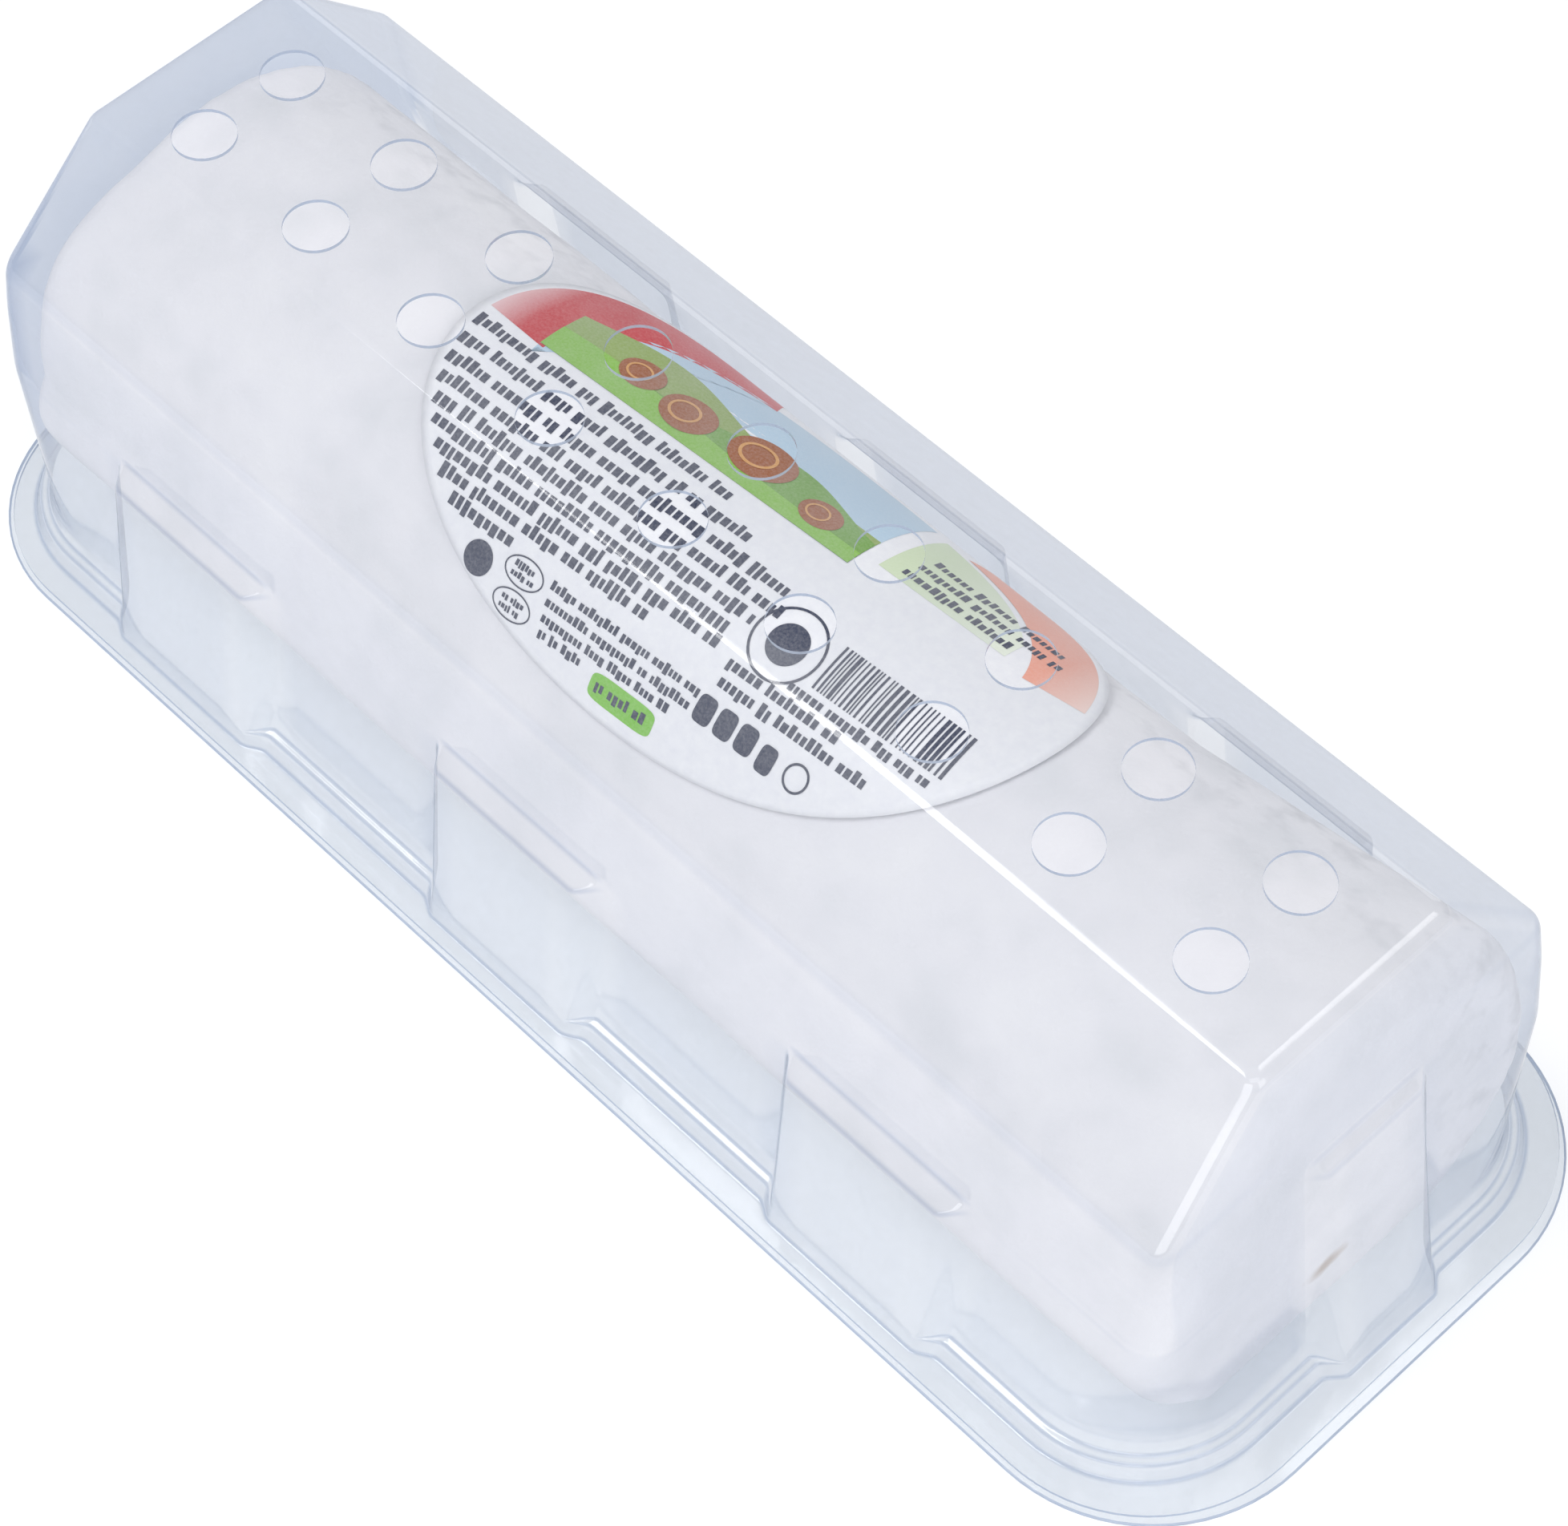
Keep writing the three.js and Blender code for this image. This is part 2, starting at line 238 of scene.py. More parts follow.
def cut_edge():
    """Cut edge of the clear sheet, which gathers a darker blue."""
    shader = Shader("plastic_cut_edge")
    clear = shader.add("ShaderNodeBsdfTransparent", Color=linear("B4C0D4")).outputs[0]
    body = shader.add("ShaderNodeBsdfPrincipled", Base_Color=linear("BFCADC"), Roughness=0.15).outputs[0]
    share = shader.math("ADD", shader.math("MULTIPLY", shader.noise(2.5), 0.5), 0.5)
    return shader.finish(shader.blend(share, clear, body))


def rind():
    """Matte white bloomy rind: soft mottling, grey specks on the far side that are partly mould and partly
    painted shade, a brown stain at one end.
    """
    shader = Shader("bloomy_rind")
    whites = [(0.3, linear("E6E7EC")), (0.5, linear("EDEDF2")), (0.75, linear("F1F1F5"))]
    mottled = shader.ramp(shader.noise(13, 2.0, 0.6), whites)
    # The far side gets grey specks, partly mould and partly painted shade of the side that gets less light
    across = shader.add("ShaderNodeSeparateXYZ", Vector=shader.place(FAR_SIDE)).outputs["Y"]
    far_side_shade_and_mould = shader.ramp(across, [(0.25, BLACK), (0.85, WHITE)])
    mould = shader.noise(4.5, 2.0, 0.65)
    specks = shader.ramp(mould, [(0.5, BLACK), (0.72, (0.3, 0.3, 0.3, 1))])
    speckled_and_shaded = shader.mix(shader.math("MULTIPLY", far_side_shade_and_mould, specks), mottled, linear("9FA3AB"))
    stain = shader.ramp(shader.stain_distance(mould), [(0.35, (0.55, 0.55, 0.55, 1)), (1.0, BLACK)])
    colour = shader.mix(stain, speckled_and_shaded, linear("A48C73"))
    normal = shader.bump(shader.noise(0.9, 1.0, 0.7), 0.12, 0.6)
    body = shader.add("ShaderNodeBsdfDiffuse", Color=colour, Roughness=0.3, Normal=normal)
    return shader.finish(body.outputs[0])


def paper():
    """Coated white paper with a faint fibre tone."""
    shader = Shader("label_paper")
    fibres = shader.noise(1.4, 6.0, 0.7)
    colour = shader.ramp(fibres, [(0.3, linear("EDEEF5")), (0.7, linear("F6F7FB"))])
    normal = shader.bump(shader.noise(0.5, 3.0), 0.015)
    body = shader.add("ShaderNodeBsdfPrincipled", Base_Color=colour, Roughness=0.45, Normal=normal)
    return shader.finish(body.outputs[0])


def ink(name, colour, fade_to=None, fade_from_mm=0.0, fade_over_mm=1.0):
    """Printed ink with a fine screen of lighter specks. It may fade into another colour along X."""
    shader = Shader(name)
    specks = shader.noise(0.35, 4.0, 0.7)
    dark = linear(colour)
    light = [0.85 * c + 0.15 for c in dark[:3]] + [1.0]
    printed = shader.ramp(specks, [(0.35, dark), (0.8, light)])
    if fade_to is not None:
        along = shader.add("ShaderNodeSeparateXYZ", Vector=shader.place()).outputs["X"]
        distance = shader.math("DIVIDE", shader.math("SUBTRACT", along, fade_from_mm), fade_over_mm)
        printed = shader.mix(shader.ramp(distance, [(0.0, BLACK), (1.0, WHITE)]), printed, linear(fade_to))
    body = shader.add("ShaderNodeBsdfPrincipled", Base_Color=printed, Roughness=0.42)
    return shader.finish(body.outputs[0])


def new_piece(name, points_mm, faces, materials):
    """A smooth mesh object from points in millimetres, riding on the part."""
    mesh = bpy.data.meshes.new(name)
    mesh.from_pydata([tuple(p) for p in np.asarray(points_mm) * MM], [], [tuple(f) for f in faces])
    mesh.update()
    mesh.polygons.foreach_set("use_smooth", [True] * len(mesh.polygons))
    for material in materials:
        mesh.materials.append(material)
    piece = bpy.data.objects.new(name, mesh)
    bpy.context.scene.collection.objects.link(piece)
    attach(piece, "root")
    return piece


def smoothstep(share):
    return share * share * (3 - 2 * share)


# Cover

FLANK_STEPS = 8
CORNER_STEPS = 18
VENT_SIDES = 48
ROUND_STEPS = 6
RUN_STEP = 4.0  # longest straight step
LONGEST_CUT = 0.45  # how much of a span the rounding beside it may take
SHARP_FOLD = math.radians(60)  # a bend this sharp gets the full painted shade of a fold
END_WALL_SHADE = {"x": -98, "z": 8, "tone": 0.58}  # painted grey shade on the wall at the -X end, for the dim inside that it reflects
TINY = 1e-6
MATCH_DIGITS = 3  # places of a millimetre that tell points apart


def grown(section, out, corner, z):
    """A section of the formed body, wider than another by out."""
    return {"x": section["x"] + out, "y": section["y"] + out, "corner": corner, "z": z, "shift": BODY_SHIFT}


def lug_reach(lug, z):
    """How far a lug's drafted face reaches from the middle of the body at height z."""
    return lug["reach"] + (lug["top"] - z) * math.tan(lug["draft"])


def cover_sections():
    """Sections of the cover's outer face from the rim's edge to the flat top.

    soft is the rounding at a section, and the fold shade is how much painted shade darkens the bend there.
    """
    rim_top = COVER_LOW[2] + SHEET
    rim_outer = {"x": COVER_HIGH[0], "y": COVER_HIGH[1], "corner": RIM["corner"], "z": rim_top, "shift": 0}
    rim_inner = grown(rim_outer, -RIM["width"], RIM["corner"] - RIM["width"], rim_top)
    step_top = grown(rim_inner, -STEP["run"], rim_inner["corner"] - STEP["run"], rim_top + STEP["rise"])
    ledge_corner = step_top["corner"] - LEDGE["width"]
    ledge_in = grown(step_top, -LEDGE["width"], ledge_corner, step_top["z"] + LEDGE["rise"])
    wall_foot = grown(ledge_in, -FILLET["run"], WALL_CORNER["foot"], ledge_in["z"] + FILLET["rise"])

    def wall_at(z):
        left = max(0, WALL["shoulder"] - z) / (WALL["shoulder"] - wall_foot["z"])
        top, foot = WALL_CORNER["top"], WALL_CORNER["foot"]
        corner = top + (foot - top) * left ** WALL_CORNER["ease"]
        return grown(wall_foot, -(z - wall_foot["z"]) * math.tan(WALL["draft"]), corner, z)

    side_crest = wall_at(SIDE_LUG["top"])
    side_root = wall_at(SIDE_LUG["top"] + SIDE_LUG["roof"])
    end_crest = wall_at(END_LUG["top"])
    end_root = wall_at(END_LUG["top"] + END_LUG["roof"])
    shoulder = wall_at(WALL["shoulder"])
    top, edge = COVER_HIGH[2], PANEL["edge"]
    edge_low = wall_at(top - edge)
    edge_low.update(y=PANEL["half_width"] + edge, corner=PANEL["corner"] + edge)
    drop = PANEL_EDGE["drop"] * edge
    edge_high = grown(edge_low, -PANEL_EDGE["run"] * edge, PANEL["corner"] + drop, top - drop)
    panel = grown(edge_low, -PANEL_EDGE["reach"] * edge, PANEL["corner"], top)
    flat = grown(panel, -PANEL["flat_inset"], PANEL["corner"] - PANEL["flat_inset"], top)

    low_levels = [rim_inner, step_top, ledge_in, wall_foot, side_crest]
    for section in low_levels:
        section["side"] = lug_reach(SIDE_LUG, section["z"])
    for section in low_levels + [side_root, end_crest]:
        section["end"] = lug_reach(END_LUG, section["z"])
    high_levels = [side_root, end_crest, end_root, shoulder, edge_low, edge_high, panel, flat]
    sections = [rim_outer, *low_levels, *high_levels]
    softs = (0, 0.6, 0.5, 0.5, 1.0, 0.7, 0.7, 0.8, 0.8, 1.6, 0.7, 0.6, 0.3, 0)
    # How much painted shade darkens the bend at each section
    fold_shades = (0, 0.6, 0.55, 0.55, 0.2, 0.5, 0.45, 0.4, 0.4, 0.22, 0.1, 0.05, 0.05, 0)
    for section, soft, fold in zip(sections, softs, fold_shades):
        section.update(soft=soft, fold=fold)
    return sections


def lug_stations(lug):
    """Places along a side where its lugs' flanks bend, with the share of the lug's depth at each."""
    stations = []
    for centre in lug["centres"]:
        rising = []
        for i in range(FLANK_STEPS + 1):
            share = i / FLANK_STEPS
            rising.append((-lug["width"] / 2 - lug["flank"] * (1 - share), smoothstep(share)))
        falling = [(-at, share) for at, share in reversed(rising)]
        stations += [(centre + at, share) for at, share in rising + falling]
    return stations


def section_ring(section):
    """Closed ring of points round a section, counter-clockwise from the +X end."""
    ring = []
    x, y, z, corner, shift = (section[key] for key in ("x", "y", "z", "corner", "shift"))
    end_depth = section.get("end", x) - x
    side_depth = section.get("side", y) - y

    def on_end(sign, stations):
        for at, share in stations:
            ring.append((shift + sign * (x + end_depth * share), at, z))

    def on_side(sign, stations):
        for at, share in stations:
            ring.append((at, sign * (y + side_depth * share), z))

    def on_corner(sign_x, sign_y, start):
        for i in range(CORNER_STEPS + 1):
            angle = start + math.pi / 2 * i / CORNER_STEPS
            ring.append((
                shift + sign_x * (x - corner) + corner * math.cos(angle),
                sign_y * (y - corner) + corner * math.sin(angle),
                z,
            ))

    ends, sides = lug_stations(END_LUG), lug_stations(SIDE_LUG)
    on_end(1, ends)
    on_corner(1, 1, 0)
    on_side(1, sides[::-1])
    on_corner(-1, 1, math.pi / 2)
    on_end(-1, ends[::-1])
    on_corner(-1, -1, math.pi)
    on_side(-1, sides)
    on_corner(1, -1, 1.5 * math.pi)
    return np.array(ring)


def split_runs(rings, step):
    """Adds points on the long straight runs of every ring, at the same shares of each run."""
    widest = np.max([np.linalg.norm(np.roll(ring, -1, 0) - ring, axis=1) for ring in rings], axis=0)
    counts = np.maximum(1, np.ceil(widest / step)).astype(int)
    finer = []
    for ring in rings:
        after = np.roll(ring, -1, 0)
        finer.append(np.array([
            ring[i] + (after[i] - ring[i]) * (k / n) for i, n in enumerate(counts) for k in range(n)
        ]))
    return finer


def rounded_rows(rings, sections):
    """Rows of points up the cover, with each bend between sections rounded off.

    Also returns how much painted shade darkens each point at a fold, from 0 to 1.
    """
    rows = [rings[0]]
    fold_shades = {}
    for k in range(1, len(rings) - 1):
        before, here, after = rings[k - 1], rings[k], rings[k + 1]
        down = before - here
        up = after - here
        down_length = np.linalg.norm(down, axis=1, keepdims=True)
        up_length = np.linalg.norm(up, axis=1, keepdims=True)
        cut = np.minimum(sections[k]["soft"], LONGEST_CUT * np.minimum(down_length, up_length))
        start = here + down / np.maximum(down_length, TINY) * cut
        end = here + up / np.maximum(up_length, TINY) * cut
        straightness = -np.sum(down * up, axis=1) / np.maximum(down_length * up_length, TINY)[:, 0]
        sharpness = np.clip(np.arccos(np.clip(straightness, -1, 1)) / SHARP_FOLD, 0, 1)
        add_span(rows, start)
        for i in range(1, ROUND_STEPS + 1):
            t = i / ROUND_STEPS
            fold_shades[len(rows)] = sections[k]["fold"] * sharpness * (4 * t * (1 - t)) ** 2
            rows.append((1 - t) ** 2 * start + 2 * t * (1 - t) * here + t * t * end)
    add_span(rows, rings[-1])
    return rows, [fold_shades.get(i, np.zeros(len(rings[0]))) for i in range(len(rows))]


def add_span(rows, target):
    """Adds rows from the last one to target, with more between where the span is long."""
    last = rows[-1]
    count = max(1, math.ceil(np.max(np.linalg.norm(target - last, axis=1)) / RUN_STEP))
    for i in range(1, count + 1):
        rows.append(last + (target - last) * (i / count))


def grid_faces(row_count, column_count):
    """Quads of a stack of closed rings, facing out where each ring lies above the one before."""
    faces = []
    for row in range(row_count - 1):
        for column in range(column_count):
            after = (column + 1) % column_count
            low, high = row * column_count, (row + 1) * column_count
            faces.append((low + column, low + after, high + after, high + column))
    return faces


def capped_faces(row_count, column_count):
    """Faces of a stack of closed rings, shut with one face at each end."""
    first = tuple(reversed(range(column_count)))
    last = tuple(range((row_count - 1) * column_count, row_count * column_count))
    return grid_faces(row_count, column_count) + [first, last]


def vent_centres():
    half = (VENT["per_row"] - 1) / 2
    along = [VENT["x"] + (i - half) * VENT["pitch"] for i in range(VENT["per_row"])]
    return [Vector((x, VENT["y"] + row * VENT["row_gap"])) for row in (-0.5, 0.5) for x in along]


def in_vent(place):
    return any((place - centre).length < VENT["radius"] for centre in vent_centres())


def panel_fill(points, border):
    """New points and faces that fill the flat top inside the border ring, with the vent holes left open."""
    def key(place):
        return (round(place[0], MATCH_DIGITS), round(place[1], MATCH_DIGITS))

    outline = [tuple(points[i][:2]) for i in border]
    flat = [Vector(p) for p in outline]
    edges = [(i, (i + 1) % len(outline)) for i in range(len(outline))]
    for centre in vent_centres():
        first = len(flat)
        flat += [Vector(p) for p in oval(*centre, VENT["radius"], VENT["radius"], VENT_SIDES)]
        edges += [(first + i, first + (i + 1) % VENT_SIDES) for i in range(VENT_SIDES)]
    found, _, triangles, *_ = delaunay_2d_cdt(flat, edges, [], 1, 1e-5)
    lookup = {key(place): i for i, place in zip(border, outline)}
    new_points, numbers = [], []
    for place in found:
        if key(place) not in lookup:
            lookup[key(place)] = len(points) + len(new_points)
            new_points.append((place.x, place.y, COVER_HIGH[2]))
        numbers.append(lookup[key(place)])
    open_faces = [t for t in triangles if not in_vent(sum((found[i] for i in t), Vector((0, 0))) / 3)]
    return new_points, [[numbers[i] for i in triangle] for triangle in open_faces]


def edge_strip(points, faces, outline):
    """Adds the cut edge of the sheet below a closed outline."""
    first, count = len(points), len(outline)
    points += [tuple(p) for p in outline]
    points += [(x, y, z - SHEET) for x, y, z in outline]
    faces += [(first + i, first + count + i, first + count + (i + 1) % count, first + (i + 1) % count)
              for i in range(count)]


def make_cover(plastic, edge):
    """Formed sheet, with its thickness shown at the cut edges of the rim and the vent holes."""
    sections = cover_sections()
    rings = split_runs([section_ring(section) for section in sections], RUN_STEP)
    rows, fold_shades = rounded_rows(rings, sections)
    columns = len(rows[0])
    points = [tuple(p) for row in rows for p in row]
    faces = grid_faces(len(rows), columns)
    border = list(range((len(rows) - 1) * columns, len(rows) * columns))
    more_points, more_faces = panel_fill(points, border)
    points += more_points
    faces += more_faces
    sheet_faces = len(faces)
    edge_strip(points, faces, rows[0])
    for centre in vent_centres():
        rim = oval(*centre, VENT["radius"], VENT["radius"], VENT_SIDES)
        edge_strip(points, faces, [(x, y, COVER_HIGH[2]) for x, y in rim])
    cover = new_piece("clear_cover", points, faces, [plastic, edge])
    for polygon in cover.data.polygons[sheet_faces:]:
        polygon.material_index = 1
    # Painted shade along the folds, carried to the plastic's shader
    fold = cover.data.attributes.new("fold", "FLOAT", "POINT")
    values = np.zeros(len(points))
    values[:len(rows) * columns] = np.concatenate(fold_shades)
    # The wall at the -X end gets painted grey shade too
    for i, (x, _, z) in enumerate(points):
        if x < END_WALL_SHADE["x"] and z > END_WALL_SHADE["z"]:
            values[i] = max(values[i], END_WALL_SHADE["tone"])
    fold.data.foreach_set("value", values)
    cover.visible_shadow = False
    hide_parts("cover")


# Base sheet

BASE_EDGE = {"width": 12.0, "steps": 6}


def rounded_outline(x, y, corner, steps):
    outline = []
    for sign_x, sign_y, start in ((1, 1, 0), (-1, 1, 90), (-1, -1, 180), (1, -1, 270)):
        for i in range(steps + 1):
            angle = math.radians(start + 90 * i / steps)
            outline.append((
                sign_x * (x - corner) + corner * math.cos(angle),
                sign_y * (y - corner) + corner * math.sin(angle),
            ))
    return outline


def make_base(plastic, edge):
    """Flat sheet with a softly rounded cut edge."""
    soft = SHEET / 2
    profile = [(BASE_EDGE["width"], 0.0)]
    for i in range(BASE_EDGE["steps"] + 1):
        angle = math.pi * (i / BASE_EDGE["steps"] - 0.5)
        profile.append((soft - soft * math.cos(angle), soft + soft * math.sin(angle)))
    profile.append((BASE_EDGE["width"], SHEET))
    points = []
    for inset, z in profile:
        half_length, half_width = BASE_HIGH[:2] - inset
        outline = rounded_outline(half_length, half_width, BASE_CORNER - inset, CORNER_STEPS)
        points += [(x, y, BASE_LOW[2] + z) for x, y in outline]
    columns = 4 * (CORNER_STEPS + 1)
    faces = capped_faces(len(profile), columns)
    base = new_piece("clear_base", points, faces, [plastic, edge])
    for polygon in base.data.polygons:
        on_edge = columns <= polygon.index < (len(profile) - 2) * columns
        polygon.material_index = 1 if on_edge else 0
    base.visible_shadow = False
    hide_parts("base_sheet")


# Cheese log

LOG_SIDES = 300
LOG_STEP = 0.85
LOG_EDGE_STEPS = 12
LOG_END_RINGS = 18
LOG_END_MIDDLE = 0.03  # share of the end's size that its innermost ring has

# Low relief of the rind in millimetres. Grain is the softness, ratio and number of its finer layers.
DIMPLES = {"size": 26, "depth": 0.1, "grain": (1.0, 2.0, 3)}
PITS = {"size": (9, 5, 5), "depth": 0.07, "grain": (0.9, 2.1, 4)}
WRINKLES = {"size": (14, 4.5, 4.5), "shift": 7, "above": 0.72, "depth": 0.05, "far_depth": 0.3}
WRINKLED = {"from": -0.5, "to": 0.75}  # across the log, where the deeper wrinkles of the far side set in
RELIEF = {"middle": 0.14, "least": 0.02}


def ease(value, start, stop):
    """Smooth rise from 0 at start to 1 at stop."""
    return smoothstep(min(1, max(0, (value - start) / (stop - start))))


def log_point(along, turn, inset, share):
    """(along, across, up) of a point of the log at a turn from its top, near side positive.

    The outline is drawn in by inset, and share is the part of the way out to it from the middle.
    """
    end = RIGHT_END if along > 0 else LEFT_END
    full = min(1, max(0, (abs(along) - end["begins"]) / (LOG_HALF - end["edge"] - end["begins"])))
    degrees = math.degrees(turn)
    sag = (SAG["near"] if turn > 0 else SAG["far"]) * ease(abs(degrees), SAG["from"], SAG["to"])
    bulge = end["bulge"] * ease(end["side"] * degrees, end["from"], end["to"])
    radius = LOG_RADIUS + sag + full * max(0, bulge - sag) - inset
    up = share * max(inset - LOG_RADIUS, radius * math.cos(turn))
    flare = full * end["flare"] * ease(FLARE["from"] - up, 0, FLARE["from"] - FLARE["to"])
    return np.array((along + math.copysign(flare, along), -share * radius * math.sin(turn), up))


def log_end_rings(edge):
    """(along, inset, share) of the rings from the middle of an end to the foot of its rounded edge."""
    rings = [(LOG_HALF, edge, share) for share in np.linspace(LOG_END_MIDDLE, 1, LOG_END_RINGS)[:-1]]
    for i in range(LOG_EDGE_STEPS + 1):
        turn = math.pi / 2 * i / LOG_EDGE_STEPS
        rings.append((LOG_HALF - edge * (1 - math.cos(turn)), edge * (1 - math.sin(turn)), 1))
    return rings


def log_rings():
    """(along, inset, share) of the rings from the middle of one end to the middle of the other."""
    left = [(-along, inset, share) for along, inset, share in log_end_rings(LEFT_END["edge"])]
    right = log_end_rings(RIGHT_END["edge"])[::-1]
    start, stop = left[-1][0], right[0][0]
    count = round((stop - start) / LOG_STEP)
    return left + [(start + (stop - start) * i / count, 0, 1) for i in range(1, count)] + right


def relief(point, side):
    """Depth in millimetres of the rind's dimples and wrinkles at a point. side is 1 on the far side."""
    depth = RELIEF["middle"]
    for layer in (DIMPLES, PITS):
        depth += layer["depth"] * noise.fractal(Vector(point / layer["size"]), *layer["grain"])
    wrinkle = 1 - abs(noise.noise(Vector(point / WRINKLES["size"] + (0, 0, WRINKLES["shift"]))))
    wrinkle_depth = WRINKLES["depth"] + WRINKLES["far_depth"] * side
    return max(RELIEF["least"], depth + wrinkle_depth * max(0, wrinkle - WRINKLES["above"]))


def make_log(material):
    rings = log_rings()
    points = []
    for along, inset, share in rings:
        for i in range(LOG_SIDES):
            place = log_point(along, (2 * i / LOG_SIDES - 1) * math.pi, inset, share)
            depth = relief(place, ease(place[1] / LOG_RADIUS, WRINKLED["from"], WRINKLED["to"]))
            points.append(place * (1 - depth / np.array((LOG_HALF, LOG_RADIUS, LOG_RADIUS))))
    faces = capped_faces(len(rings), LOG_SIDES)
    log = new_piece("cheese_rind", np.array(points) + LOG_AXIS, faces, [material])
    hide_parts("cheese_log")


# Sticker

LABEL_SPOKES = 160
LABEL_RINGS = 36


def on_log(u, w, lift):
    """Point on the sticker, u along it and w across it towards the near side, lifted off the log."""
    skew = LABEL_PLACE["skew"]
    x = LABEL_PLACE["x"] + u * math.cos(skew) - w * math.sin(skew)
    angle = (LABEL_PLACE["around"] + u * math.sin(skew) + w * math.cos(skew)) / LOG_RADIUS
    radius = LOG_RADIUS + lift
    return (x, LOG_AXIS[1] - radius * math.sin(angle), LOG_AXIS[2] + radius * math.cos(angle))


def make_label(material):
    under, over = GAP, GAP + LABEL["thickness"]
    shares = [i / LABEL_RINGS for i in range(1, LABEL_RINGS + 1)]
    levels = [(share, under) for share in shares] + [(share, over) for share in reversed(shares)]
    points = []
    for share, lift in levels:
        for i in range(LABEL_SPOKES):
            angle = -2 * math.pi * i / LABEL_SPOKES
            u = share * LABEL["half_length"] * math.cos(angle)
            w = share * LABEL["half_width"] * math.sin(angle)
            points.append(on_log(u, w, lift))
    faces = capped_faces(len(levels), LABEL_SPOKES)
    label = new_piece("label_sheet", points, faces, [material])
    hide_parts("label")


class Print:
    """Flat shapes of one ink, laid on the sticker."""

    STRIP = 1.2  # width of the strips that follow the log's curve
    INK_STEP = 0.03  # height of one layer over another
    WORD = (2, 9)  # fewest and most blocks in a group

    # Shares of a row's height
    BLOCK_WIDTH = (0.3, 0.55)
    BLOCK_RISE = (0.32, 0.32, 0.32, 0.55)
    BLOCK_DROP = (0.32, 0.32, 0.32, 0.5)
    BLOCK_GAP = 0.17
    WORD_GAP = 0.38

    def __init__(self, name, material, layer):
        self.name = name
        self.material = material
        self.lift = GAP + LABEL["thickness"] + self.INK_STEP * layer
        self.flat = bmesh.new()

    def polygon(self, outline):
        self.flat.faces.new([self.flat.verts.new((u, w, 0)) for u, w in outline])

    def bar(self, u0, u1, w0, w1):
        self.polygon([(u0, w0), (u1, w0), (u1, w1), (u0, w1)])

    def disc(self, u, w, half_u, half_w, sides=40, power=2.0):
        """Oval, or a rounded lozenge with a higher power."""
        self.polygon(oval(u, w, half_u, half_w, sides, power))

    def ring(self, u, w, half_u, half_w, line, sides=48):
        outer = oval(u, w, half_u, half_w, sides)
        inner = oval(u, w, half_u - line, half_w - line, sides)
        for i in range(sides):
            after = (i + 1) % sides
            self.polygon([outer[i], outer[after], inner[after], inner[i]])

    def block_row(self, draw, u0, u1, w, height):
        """A row of plain blocks in word-like groups. w is its middle."""
        u = u0
        while u < u1:
            for _ in range(draw.randint(*self.WORD)):
                width = height * draw.uniform(*self.BLOCK_WIDTH)
                if u + width > u1:
                    return
                rise = draw.choice(self.BLOCK_RISE) * height
                drop = draw.choice(self.BLOCK_DROP) * height
                self.bar(u, u + width, w - rise, w + drop)
                u += width + self.BLOCK_GAP * height
            u += self.WORD_GAP * height

    def make(self):
        bmesh.ops.triangulate(self.flat, faces=self.flat.faces[:])
        across = [v.co.y for v in self.flat.verts]
        for k in range(math.floor(min(across) / self.STRIP), math.ceil(max(across) / self.STRIP) + 1):
            geometry = self.flat.verts[:] + self.flat.edges[:] + self.flat.faces[:]
            cut = (0, k * self.STRIP, 0)
            bmesh.ops.bisect_plane(self.flat, geom=geometry, plane_co=cut, plane_no=(0, 1, 0))
        self.flat.normal_update()
        for face in self.flat.faces:
            if face.normal.z > 0:
                face.normal_flip()
        self.flat.verts.index_update()
        points = [on_log(v.co.x, v.co.y, self.lift) for v in self.flat.verts]
        faces = [[v.index for v in face.verts] for face in self.flat.faces]
        self.flat.free()
        new_piece(self.name, points, faces, [self.material])


def oval(u, w, half_u, half_w, sides, power=2.0):
    outline = []
    for i in range(sides):
        angle = 2 * math.pi * i / sides
        c, s = math.cos(angle), math.sin(angle)
        outline.append((
            u + half_u * math.copysign(abs(c) ** (2 / power), c),
            w + half_w * math.copysign(abs(s) ** (2 / power), s),
        ))
    return outline


def label_edge(u, inset):
    """How far across the sticker its far edge lies at u, with a margin."""
    share = min(1, abs(u) / (LABEL["half_length"] - inset))
    return -(LABEL["half_width"] - inset) * math.sqrt(1 - share * share)


def edge_band(from_turn, to_turn, inset, width, steps=40):
    """Outline of a band that follows the sticker's far edge. Turns are in degrees from its right end."""
    def at(turn, margin):
        angle = math.radians(turn)
        return (
            (LABEL["half_length"] - margin) * math.cos(angle),
            -(LABEL["half_width"] - margin) * math.sin(angle),
        )
    turns = [from_turn + (to_turn - from_turn) * i / steps for i in range(steps + 1)]
    return [at(t, inset) for t in turns] + [at(t, inset + width) for t in reversed(turns)]


PICTURE = {"left": -38, "right": 12, "low": -1.9, "inset": 10}
BALES = ((-26, -7.2, 2.6), (-17.5, -6.2, 3.2), (-6.5, -7.5, 3.8), (4.5, -5.6, 2.4))


def hill(base, height, middle, spread):
    """A rounded hill across the picture: its crest at each place along it."""
    return lambda u: base - height * math.exp(-((u - middle) / spread) ** 2)


def under_curve(crest, left, right, low, steps=40):
    """Outline of the field between a curve and a straight lower edge."""
    places = [left + (right - left) * i / steps for i in range(steps + 1)]
    return [(u, low) for u in (left, right)] + [(u, crest(u)) for u in reversed(places)]


